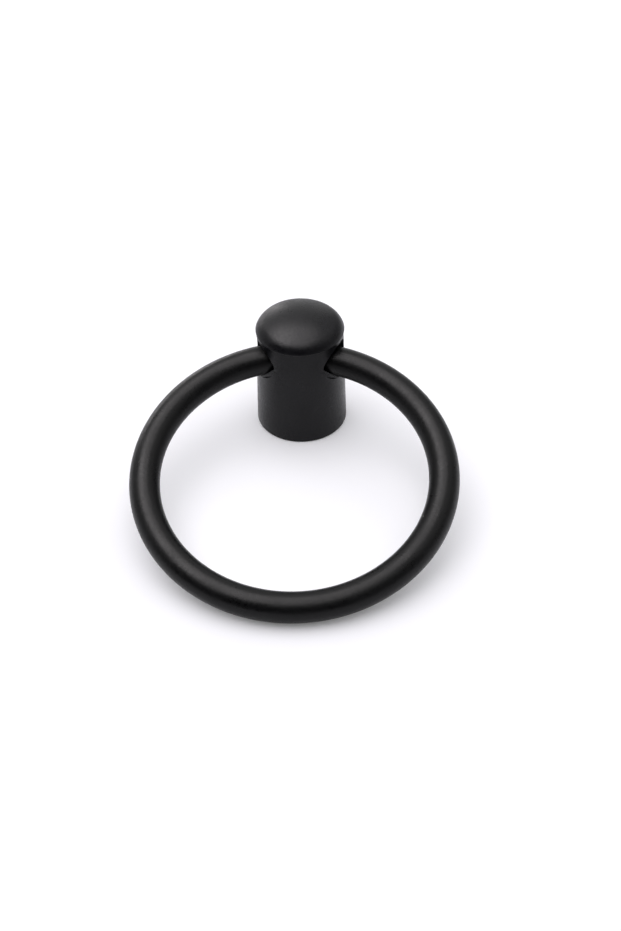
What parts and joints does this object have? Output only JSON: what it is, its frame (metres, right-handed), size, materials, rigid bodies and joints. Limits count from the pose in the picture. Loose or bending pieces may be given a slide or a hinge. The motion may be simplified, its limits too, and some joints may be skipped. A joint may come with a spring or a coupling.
{
  "type": "ring pull handle",
  "caption": "Satin black ring pull for a drawer or cabinet door: a short post with a domed cap and a screw hole in its base, and a round-rod ring that swings in a hole across it.",
  "frame": {"origin": "centre of the post's flat base, on the face of the drawer or door that it is screwed to", "axes": "+Z out of the drawer or door along the post, -Y towards the side where the ring lies at rest, X along the axis that the ring swings on"},
  "size_m": [0.0554, 0.0612, 0.0226],
  "materials": {
    "post_coat": "satin black powder coat on cast zinc alloy",
    "ring_coat": "satin black powder coat on zinc alloy rod"
  },
  "bodies": {
    "post": {"post": "post_coat"},
    "ring": {"ring": "ring_coat"}
  },
  "joints": [
    {"name": "ring_swing", "type": "hinge", "parent": "post", "child": "ring", "pos_m": [0, -0.0027, 0.01507], "axis": [-1, 0, 0], "range_deg": [0, 209]}
  ]
}
